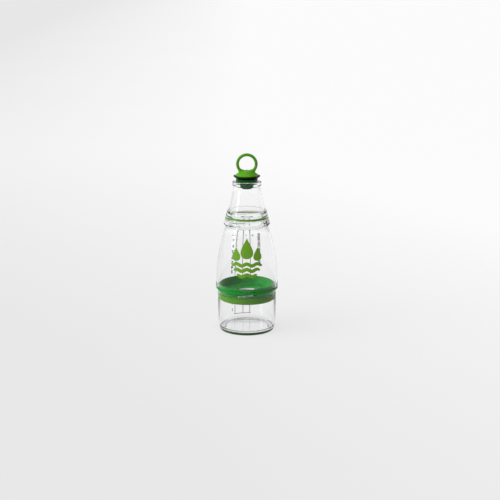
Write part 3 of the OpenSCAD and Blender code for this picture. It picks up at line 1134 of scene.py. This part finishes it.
@dataclass
class Body:
    """Clear bell-shaped body with its threaded foot and mouth, and the green ring on the mouth."""

    wall_t: float = 2.3
    shoulder: tuple[float, float] = (26.3, 131.2)
    root_r: float = 23.0
    mouth_r: float = 21.9
    mouth_bore: float = 20.2
    foot_bore: float = 35.9
    seat_low: float = 140.5
    neck_seat_r: float = 23.9
    seal_h: float = 2.1
    mouth_thread: Thread = Thread(23.0, 1.45, 137, 3, 15, 66, 1.5)
    foot_thread: Thread = Thread(35.9, -1.1, 56.95, 4, 10, 30, 0.8)

    def outline(self) -> np.ndarray:
        """Outer line: one cubic curve from the foot, nearly upright at first, up to the shoulder."""
        size = Extent.of("body")
        controls = [
            (size.radius, size.low),
            (size.radius - 2, size.low + 33),
            (size.radius - 2.8, size.low + 44.6),
            self.shoulder,
        ]
        return bezier(controls, 64)

    def build(self) -> Wall:
        """Builds the body and its neck seal.

        Returns:
            The body's outer wall.
        """
        size = Extent.of("body")
        outer = self.outline()
        inner = outer[-6:7:-1] - [self.wall_t, 0]
        profile = rounded(
            [(self.foot_bore, size.low + 0.9), (self.foot_bore, size.low, 0.4), (size.radius, size.low, 0.4)]
            + listed(outer[2:-2])
            + [
                (*self.shoulder, 0.5),
                (self.root_r, self.shoulder[1] + 0.3, 0.4),
                (self.root_r, self.seat_low - 0.9, 0.2),
                (self.mouth_r, self.seat_low - 0.4, 0.2),
                (self.mouth_r, size.high, 0.6),
                (self.mouth_bore, size.high, 0.5),
                (self.mouth_bore, self.shoulder[1] + 1.6, 3.0),
            ]
            + listed(inner)
            + [(self.foot_bore, size.low + 5, 1.5), (self.foot_bore, size.low + 0.9)]
        )[:-1]
        surface = turned(profile, [self.mouth_thread, self.foot_thread])
        place("body_moulding", surface, CLEAR, Part.BODY, Slot.CLEAR, ["body"])
        seal = Extent.of("neck_seal_ring")
        ring = seal_ring(self.mouth_r + 0.05, self.neck_seat_r + SQUEEZE, seal.low, seal.low + self.seal_h, 0.5)
        place("neck_seal_moulding", ring, SEAL_OLIVE, Part.NECK_SEAL, Slot.SEAL, ["neck_seal_ring"])
        return Wall(outer)


@dataclass
class Neck:
    """Clear neck: flared skirt over the body's mouth, a small step, a cone and a banded mouth."""

    step_r: float = 23.9
    step_z: float = 150.8
    wall_t: float = 2.1
    rim_r: float = 17.7
    band_low: float = 181.3
    edge_lift: float = 1.0
    mouth_bore: float = 13.5
    bore: float = 24.8
    seat_r: float = 23.9
    seat_low: float = 140.5
    ceiling: float = 145.3
    passage_r: float = 20.6
    thread: Thread = Thread(24.8, -1.45, 135.2, 3, 15, 66, 1.5)

    def cone(self, low: float, high: float, steps: int) -> np.ndarray:
        """Cone line: r = 22.63 - 7.36 s + 1.18 s^2 with s = (z - 150) / 30, nearly straight."""
        z = np.linspace(low, high, steps)
        s = (z - 150) / 30
        return np.stack([22.63 - 7.36 * s + 1.18 * s * s, z], axis=1)

    def build(self) -> None:
        """Builds the neck."""
        size = Extent.of("neck")
        low = size.low + self.edge_lift
        inner = self.cone(154, 176, 8)[::-1] - [self.wall_t, 0]
        foot = bezier([inner[-1], inner[-1] + [0.7, -3], (self.passage_r, 148.3), (self.passage_r, 146.4)], 10)
        profile = rounded(
            [
                (self.bore, low + 1.5),
                (self.bore + 0.8, low, 0.5),
                (size.radius, low, 1.2),
                (self.step_r + 0.15, self.step_z, 0.6),
                (22.43, self.step_z, 0.15),
            ]
            + listed(self.cone(self.step_z + 0.6, self.band_low - 0.8, 28))
            + [
                (self.rim_r, self.band_low + 0.2, 0.3),
                (self.rim_r, size.high, 1.6),
                (self.mouth_bore, size.high, 0.5),
                (self.mouth_bore, 180, 1.5),
            ]
            + listed(inner)
            + listed(foot[1:])
            + [
                (self.passage_r, self.ceiling, 0.3),
                (self.seat_r, self.ceiling, 0.3),
                (self.seat_r, self.seat_low, 0.2),
                (self.bore, self.seat_low - 1.4, 0.4),
                (self.bore, low + 1.5),
            ]
        )[:-1]
        place("neck_moulding", turned(profile, [self.thread]), CLEAR, Part.NECK, Slot.CLEAR, ["neck"])


@dataclass
class Stopper:
    """Stopper: soft plug with its seal ring, flared lip seal, and the cap with the ring handle."""

    dome_r: float = 14.2
    dome_low: float = 193.5
    dome_h: float = 6.3
    collar_r: float = 11.0
    ring_z: float = 207.2
    ring_r: float = 11.3
    bar_r: float = 1.8
    stem_r: float = 7.0
    stem_low: float = 182.45
    groove: tuple[float, float] = (184.5, 185.8)
    mouth_bore: float = 13.5
    flare: float = 0.75
    nose_r: float = 7.4

    def cap(self) -> Surface:
        """Dome, collar and stem in one turned shape, with the ring handle standing in it."""
        ball = (self.dome_r**2 + self.dome_h**2) / (2 * self.dome_h)
        half = math.asin(self.dome_r / ball)
        t = np.linspace(math.pi / 2 - half + 0.03, math.pi / 2, 24)
        dome = np.stack(
            [ball * np.cos(t), self.dome_low + self.dome_h - ball + ball * np.sin(t)], axis=1
        )
        dome[-1, 0] = 0
        profile = rounded(
            [
                (0, self.stem_low),
                (self.stem_r, self.stem_low, 0.3),
                (self.stem_r, 190.75, 0.2),
                (self.collar_r, 190.75, 0.3),
                (self.collar_r, self.dome_low, 0.3),
                (self.dome_r, self.dome_low, 0.35),
                (self.dome_r, self.dome_low + 0.4, 0.2),
            ]
            + listed(dome)
        )
        return Surface.joined([turned(profile), self.handle()])

    def handle(self) -> Surface:
        """Ring handle in the XZ plane.

        Point (a, b) is ((R + q cos b) cos a, q sin b, z + (R + q cos b) sin a). The bar radius q grows
        where the ring meets the dome, so that it flows into it.
        """
        a = np.arange(160)[:, None] * 2 * math.pi / 160
        b = np.arange(32)[None] * 2 * math.pi / 32
        level = self.ring_z + self.ring_r * np.sin(a)
        reach = self.dome_low + self.dome_h - 1.0
        q = self.bar_r * (1 + self.flare * smooth((reach + 2.6 - level) / 4.2))
        r = self.ring_r + q * np.cos(b)
        points = np.stack([r * np.cos(a), q * np.sin(b), self.ring_z + r * np.sin(a)], axis=-1)
        return closed_grid(points)

    def plug(self) -> Surface:
        """Plug with a slimmer nose, a groove for its ring and a bore for the stem."""
        size = Extent.of("stopper_plug")
        low, high = self.groove
        profile = rounded(
            [
                (0, size.low),
                (self.nose_r, size.low, 2.4),
                (self.nose_r + 1.4, 182.6, 1.0),
                (size.radius, 183.6, 0.6),
                (size.radius, low - 0.1),
                (size.radius - 1, low, 0.1),
                (size.radius - 1, high, 0.1),
                (size.radius, high + 0.1, 0.2),
                (size.radius, size.high, 0.6),
                (self.stem_r + 0.05, size.high, 0.2),
                (self.stem_r + 0.05, 182.4, 0.2),
                (0, 182.4),
            ]
        )
        return turned(profile)

    def lip(self) -> Surface:
        """Flared lip seal: a flat base and a thin skirt that turns up and out."""
        size = Extent.of("stopper_lip_seal")
        base = self.stem_r + 0.05
        profile = rounded(
            [
                (base, 190.2),
                (base, size.low, 0.2),
                (12.2, size.low, 0.4),
                (14.0, 190.6, 2.0),
                (size.radius, size.high - 1.2, 0.3),
                (size.radius - 0.3, size.high - 0.8, 0.2),
                (14.0, 191.4, 1.2),
                (11.9, 190.7, 0.5),
                (base, 190.7, 0.2),
                (base, 190.2),
            ]
        )[:-1]
        return turned(profile)

    def build(self) -> None:
        """Builds the stopper's four pieces."""
        ring = Extent.of("stopper_seal_ring")
        seal = seal_ring(12.25, self.mouth_bore + SQUEEZE, ring.low, ring.high, 0.3)
        place("cap_moulding", self.cap(), CAP_GREEN, Part.STOPPER, Slot.CAP, ["stopper_cap"])
        # The plug's deep green holds painted shade of the dome and lip above it.
        place("plug_moulding", self.plug(), PLUG_GREEN, Part.STOPPER, Slot.PLUG, ["stopper_plug"])
        # The lip's near black is partly painted shade of the dome above it.
        place("lip_seal_moulding", self.lip(), LIP_PAINTED_SHADE, Part.STOPPER, Slot.LIP, ["stopper_lip_seal"])
        place("plug_seal_moulding", seal, SEAL_OLIVE, Part.STOPPER, Slot.SEAL, ["stopper_seal_ring"])


@dataclass(frozen=True)
class PaleFloor(Finish):
    """Matt paper sweep, nearly white. It is painted a shade greyer near the viewer and at the left: painted shade, as
    light falls off across the sweep.

    Rays that show it see its plain colour for the most part, and its lit and shaded surface for the rest,
    so that the bottle's shadow stays as faint as under many lamps.
    """

    near: str = "f1f1f1"
    far: str = "ffffff"
    # Greys of the lit share: darker than the plain colour so that less light bounces, with the same painted shade.
    near_lit: str = "bebebe"
    far_lit: str = "f0f0f0"
    near_m: float = -0.75
    far_m: float = 1.5
    # Painted shade: how much lighter the paper is painted per metre to the right.
    lean_per_m: float = 0.9
    plain_share: float = 0.78
    cloud_mm: float = 500.0
    cloud_depth: float = 0.06

    def shader(self, tree: bpy.types.NodeTree) -> bpy.types.NodeSocket:
        """Diffuse paper whose painted shade follows the distance from the viewer."""
        place_on = add_node(tree, "TexCoord")
        parts = add_node(tree, "SeparateXYZ", links={0: place_on.outputs["Object"]})
        # Painted shade: greyer towards the viewer, lighter towards the far side.
        away = add_node(
            tree,
            "MapRange",
            {"interpolation_type": "SMOOTHSTEP", "From Min": self.near_m, "From Max": self.far_m},
            {"Value": parts.outputs["Y"]},
        )
        cloud = add_node(
            tree,
            "MapRange",
            {"To Min": -self.cloud_depth, "To Max": self.cloud_depth},
            {"Value": object_noise(tree, self.cloud_mm, 2.0)},
        )
        leaning = add_node(
            tree,
            "Math",
            {"operation": "MULTIPLY_ADD", 1: self.lean_per_m},
            {0: parts.outputs["X"], 2: away.outputs[0]},
        )
        share = add_node(tree, "Math", {"operation": "ADD"}, {0: leaning.outputs[0], 1: cloud.outputs[0]})
        plain, lit = (
            add_node(
                tree,
                "Mix",
                {"data_type": "RGBA", 6: linear(near), 7: linear(far)},
                {0: share.outputs[0]},
            ).outputs[2]
            for near, far in ((self.near, self.far), (self.near_lit, self.far_lit))
        )
        paper = add_node(
            tree, "BsdfPrincipled", {"Roughness": 0.9, "Specular IOR Level": 0.1}, {"Base Color": lit}
        )
        even = add_node(tree, "Emission", links={"Color": plain})
        shown = add_node(
            tree, "Math", {"operation": "MULTIPLY", 1: self.plain_share}, {0: shown_rays(tree)}
        )
        links = {0: shown.outputs[0], 1: paper.outputs[0], 2: even.outputs[0]}
        return add_node(tree, "MixShader", links=links).outputs[0]


@dataclass
class Studio:
    """Pale floor, soft lights and the camera."""

    floor_r: float = 16.0
    floor_gap: float = 0.05
    camera_at: tuple[float, float, float] = (0.0038, -1.55, 0.481)
    pitch_deg: float = 13.81
    lens_mm: float = 93.4
    sensor_mm: float = 36.0
    sky: str = "fafafc"
    light_level: float = 0.38
    light_lean: tuple[float, float, float] = (-0.3, 0.06, 0.04)
    shown_level: float = 0.88
    shown_lean: tuple[float, float, float] = (-0.2, 0.1, 0.0)
    bounces: int = 24

    def floor(self) -> None:
        """Flat disc under the bottle: rings of points out to the floor's radius."""
        share = np.linspace(0, 1, 25)[1:, None] ** 2
        a = np.arange(64)[None] * 2 * math.pi / 64
        reach = share * self.floor_r / MM
        level = np.full_like(reach * a, -self.floor_gap)
        rings = np.stack([reach * np.cos(a), reach * np.sin(a), level], axis=-1)
        points = np.concatenate([[[0.0, 0.0, -self.floor_gap]], rings.reshape(-1, 3)])
        around = np.arange(64)
        fan = np.stack([np.zeros(64, int), 1 + around, 1 + (around + 1) % 64], axis=1)
        surface = Surface(points, grid_quads(24, 64, False, True)[:, ::-1] + 1, fan)
        mesh = surface.mesh("studio_floor", 180.0)
        mesh.materials.append(PaleFloor("pale_paper_sweep").material())
        ground = bpy.data.objects.new("studio_floor", mesh)
        bpy.context.scene.collection.objects.link(ground)

    def aim(self, light: bpy.types.Light, at: tuple[float, float, float]) -> bpy.types.Object:
        """Hangs a lamp at a place in metres, facing the bottle's middle and unseen by the camera."""
        lamp = bpy.data.objects.new(light.name, light)
        way = np.array([0.0, 0.0, 0.11]) - np.array(at)
        flat = math.hypot(way[0], way[1])
        lamp.location = at
        lamp.rotation_euler = (math.atan2(flat, -way[2]), 0.0, math.atan2(-way[0], way[1]))
        lamp.visible_camera = False
        bpy.context.scene.collection.objects.link(lamp)
        return lamp

    def lamps(self) -> None:
        """A broad key from the left, a small top light and a low soft box that draws the neck's streak."""
        key = bpy.data.lights.new("broad_key", "SUN")
        key.energy = 2.2
        key.angle = math.radians(60)
        hung = self.aim(key, (-2.2, -0.65, 1.9))
        hung.visible_glossy = False
        hung.visible_transmission = False
        top = bpy.data.lights.new("small_top_light", "SUN")
        top.energy = 0.5
        top.angle = math.radians(12)
        self.aim(top, (0.1, -0.35, 2.3)).visible_transmission = False
        for name, width, watts in (("soft_box_core", 0.24, 2.0), ("soft_box_edge", 0.5, 1.6)):
            box = bpy.data.lights.new(name, "AREA")
            box.shape = "RECTANGLE"
            box.size, box.size_y = width, 0.4
            box.energy = watts
            self.aim(box, (-1.42, -0.63, 0.5))

    def world(self) -> None:
        """Pale surround, brightest at the left where it lights.

        Mirrored and bent rays see it nearly even, and the camera sees it white beyond the floor's edge.
        """
        world = bpy.data.worlds.new("pale_surround")
        bpy.context.scene.world = world
        world.use_nodes = True
        tree = world.node_tree
        tree.nodes.clear()
        way = add_node(tree, "TexCoord").outputs["Generated"]
        strength = add_node(
            tree,
            "Mix",
            {"data_type": "FLOAT"},
            {
                0: shown_rays(tree),
                2: self.glow(tree, way, self.light_level, self.light_lean),
                3: self.glow(tree, way, self.shown_level, self.shown_lean),
            },
        )
        direct = add_node(tree, "LightPath").outputs["Is Camera Ray"]
        seen = add_node(tree, "Math", {"operation": "MAXIMUM"}, {0: strength.outputs[0], 1: direct})
        links = {"Strength": seen.outputs[0]}
        glow = add_node(tree, "Background", {"Color": linear(self.sky)}, links)
        add_node(tree, "OutputWorld", links={"Surface": glow.outputs[0]})

    def glow(
        self,
        tree: bpy.types.NodeTree,
        way: bpy.types.NodeSocket,
        level: float,
        lean: tuple[float, float, float],
    ) -> bpy.types.NodeSocket:
        """Strength that rises along the lean: level + lean . direction."""
        along = add_node(tree, "VectorMath", {"operation": "DOT_PRODUCT", 1: lean}, {0: way})
        total = add_node(tree, "Math", {"operation": "ADD", 1: level}, {0: along.outputs["Value"]})
        return total.outputs[0]

    def camera(self) -> None:
        """Camera at the photograph's viewing angle."""
        data = bpy.data.cameras.new("camera")
        data.lens, data.sensor_width = self.lens_mm, self.sensor_mm
        camera = bpy.data.objects.new("camera", data)
        camera.location = self.camera_at
        camera.rotation_euler = (math.radians(90 - self.pitch_deg), 0.0, 0.0)
        bpy.context.scene.collection.objects.link(camera)
        bpy.context.scene.camera = camera

    def build(self) -> None:
        """Sets up floor, surround, lamps and camera, with light paths long enough for nested clear walls."""
        self.floor()
        self.world()
        self.lamps()
        self.camera()
        scene = bpy.context.scene
        scene.view_settings.view_transform = "Standard"
        scene.cycles.max_bounces = self.bounces
        scene.cycles.transmission_bounces = self.bounces
        scene.cycles.transparent_max_bounces = self.bounces


def main() -> None:
    """Builds the scene, from the camera to the stopper."""
    logging.basicConfig(level=logging.INFO, format="%(name)s: %(message)s")
    Studio().build()
    scale = ScalePrint()
    cup_wall = Cup().build()
    GrinderInsert().build()
    body_wall = Body().build()
    Neck().build()
    Stopper().build()
    scale.on_cup(cup_wall)
    scale.on_body(body_wall)
    DropMotif().build(body_wall)


if __name__ == "__main__":
    main()
